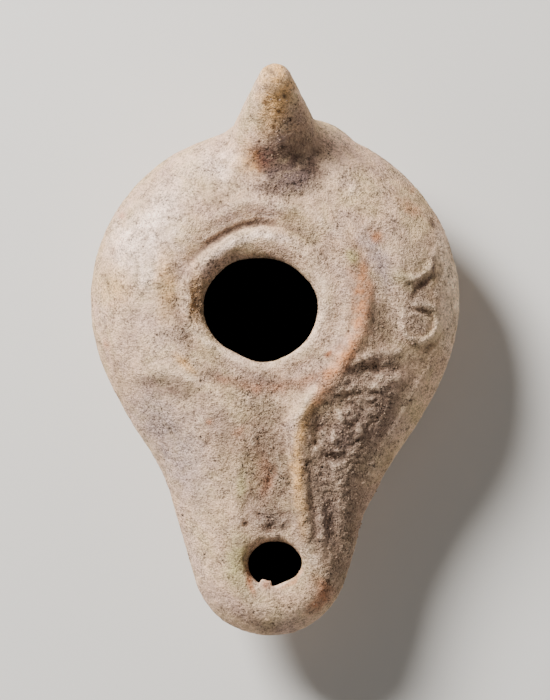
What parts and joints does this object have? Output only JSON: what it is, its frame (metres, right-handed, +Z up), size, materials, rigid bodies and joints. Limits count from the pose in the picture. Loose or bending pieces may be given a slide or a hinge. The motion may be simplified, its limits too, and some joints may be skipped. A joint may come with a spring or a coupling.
{
  "type": "roman oil lamp",
  "caption": "Closed mould-made oil lamp of fired clay: round body, long rounded nozzle with a wick hole, filling hole in a ridged disc, channel, and a conical handle that leans back.",
  "frame": {"origin": "middle of the foot's underside, on the surface that the lamp stands on", "axes": "+Z up, +Y from the foot's middle toward the handle, -Y toward the nozzle"},
  "size_m": [0.0622, 0.0949, 0.0364],
  "materials": {
    "fired_clay": "matt buff fired clay, worn and dusty"
  },
  "bodies": {
    "root": {"lamp_body": "fired_clay"}
  },
  "joints": []
}
